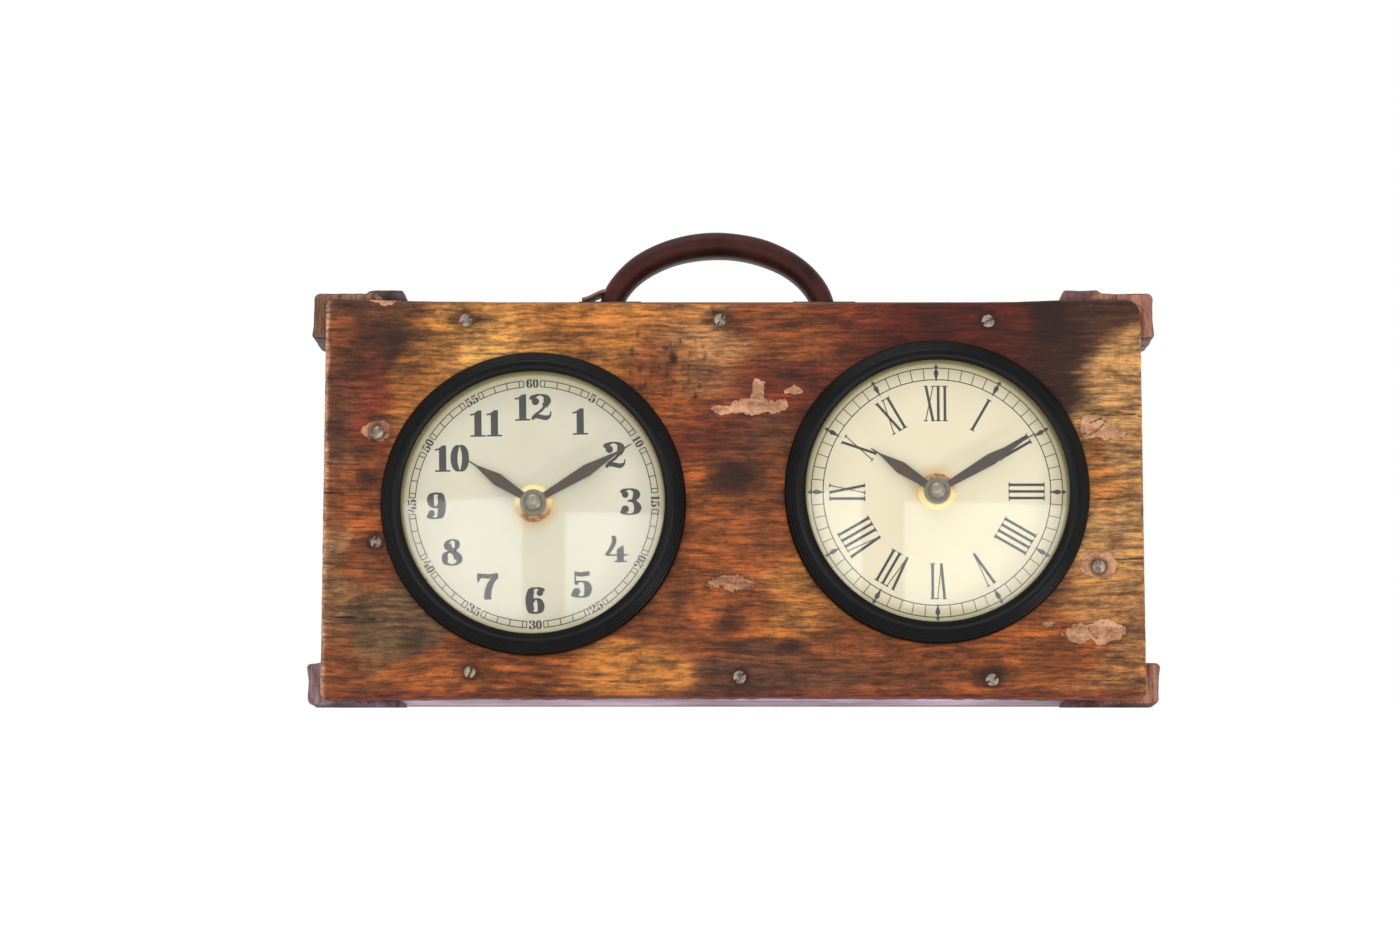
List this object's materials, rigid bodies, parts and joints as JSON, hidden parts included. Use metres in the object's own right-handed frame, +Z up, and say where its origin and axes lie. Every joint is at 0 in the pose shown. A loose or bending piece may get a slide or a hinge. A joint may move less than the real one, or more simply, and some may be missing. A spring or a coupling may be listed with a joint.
{
  "type": "table clock",
  "caption": "Wooden table clock in the shape of a small suitcase, with two round dials, leather corner guards and a leather carrying handle.",
  "frame": {"origin": "on the table, under the middle of the whole object", "axes": "+X to the right seen from the front, +Z up, front towards -Y"},
  "size_m": [0.2836, 0.054, 0.1629],
  "materials": {
    "plank_wood": "old paint and varnish worn to the wood, satin",
    "box_wood": "rough reclaimed boards, matt",
    "back_wood": "plain thin board, matt",
    "guard_leather": "thick old leather, cracked at its cut edges",
    "handle_leather": "smooth dark leather, waxed",
    "plate_iron": "dark painted iron, satin",
    "screw_steel": "worn steel",
    "nail_iron": "dark cut iron",
    "bezel_black": "black satin",
    "clock_glass": "clear",
    "left_dial": "cream print, matt",
    "right_dial": "cream print, matt",
    "nut_brass": "tarnished, rust coloured",
    "hand_metal": "gunmetal with rusty edges",
    "brass": "turned",
    "gear_plastic": "moulded",
    "movement_plastic": "moulded, fine texture",
    "cell_jacket": "plain jacket",
    "contact_steel": "spring strip",
    "board_green": "bare board",
    "coil_copper": "enamelled copper wire"
  },
  "bodies": {
    "case": {"back_panel": "back_wood", "back_screws": "screw_steel", "bottom_board": "box_wood", "bottom_left_guard": "guard_leather", "bottom_right_guard": "guard_leather", "box_nails": "nail_iron", "fixing_nuts": "nut_brass", "front_plank": "plank_wood", "guard_tacks": "nail_iron", "handle_grip": "handle_leather", "handle_plates": "plate_iron", "handle_screws": "screw_steel", "left_bezel": "bezel_black", "left_cell": "cell_jacket", "left_cell_contacts": "contact_steel", "left_circuit_board": "board_green", "left_coil": "coil_copper", "left_dial": "left_dial", "left_glass": "clock_glass", "left_movement_case": "movement_plastic", "left_movement_cover": "movement_plastic", "left_side_board": "box_wood", "plank_screws": "screw_steel", "right_bezel": "bezel_black", "right_cell": "cell_jacket", "right_cell_contacts": "contact_steel", "right_circuit_board": "board_green", "right_coil": "coil_copper", "right_dial": "right_dial", "right_glass": "clock_glass", "right_movement_case": "movement_plastic", "right_movement_cover": "movement_plastic", "right_side_board": "box_wood", "top_board": "box_wood", "top_left_guard": "guard_leather", "top_right_guard": "guard_leather"},
    "left_minute": {"left_minute_hand": "hand_metal", "left_cap_nut": "hand_metal", "left_minute_arbor": "brass"},
    "left_hour": {"left_hour_hand": "hand_metal", "left_hour_wheel": "gear_plastic"},
    "left_setting": {"left_minute_wheel": "gear_plastic", "left_set_knob": "gear_plastic"},
    "right_minute": {"right_minute_hand": "hand_metal", "right_cap_nut": "hand_metal", "right_minute_arbor": "brass"},
    "right_hour": {"right_hour_hand": "hand_metal", "right_hour_wheel": "gear_plastic"},
    "right_setting": {"right_minute_wheel": "gear_plastic", "right_set_knob": "gear_plastic"}
  },
  "joints": [
    {"name": "left_minute_spin", "type": "hinge", "parent": "case", "child": "left_minute", "pos_m": [-0.0659, -0.018, 0.06675], "axis": [0, 1, 0], "continuous": true},
    {"name": "left_hour_spin", "type": "hinge", "parent": "case", "child": "left_hour", "pos_m": [-0.0659, -0.018, 0.06675], "axis": [0, 1, 0], "continuous": true},
    {"name": "left_setting_spin", "type": "hinge", "parent": "case", "child": "left_setting", "pos_m": [-0.0659, -0.018, 0.07575], "axis": [0, 1, 0], "continuous": true},
    {"name": "right_minute_spin", "type": "hinge", "parent": "case", "child": "right_minute", "pos_m": [0.06723, -0.018, 0.0706], "axis": [0, 1, 0], "continuous": true},
    {"name": "right_hour_spin", "type": "hinge", "parent": "case", "child": "right_hour", "pos_m": [0.06723, -0.018, 0.0706], "axis": [0, 1, 0], "continuous": true},
    {"name": "right_setting_spin", "type": "hinge", "parent": "case", "child": "right_setting", "pos_m": [0.06723, -0.018, 0.0796], "axis": [0, 1, 0], "continuous": true}
  ],
  "couplings": [
    {"joint": "left_hour_spin", "follows": "left_minute_spin", "ratio": 0.083333},
    {"joint": "left_setting_spin", "follows": "left_minute_spin", "ratio": -0.33333},
    {"joint": "right_hour_spin", "follows": "right_minute_spin", "ratio": 0.083333},
    {"joint": "right_setting_spin", "follows": "right_minute_spin", "ratio": -0.33333}
  ]
}
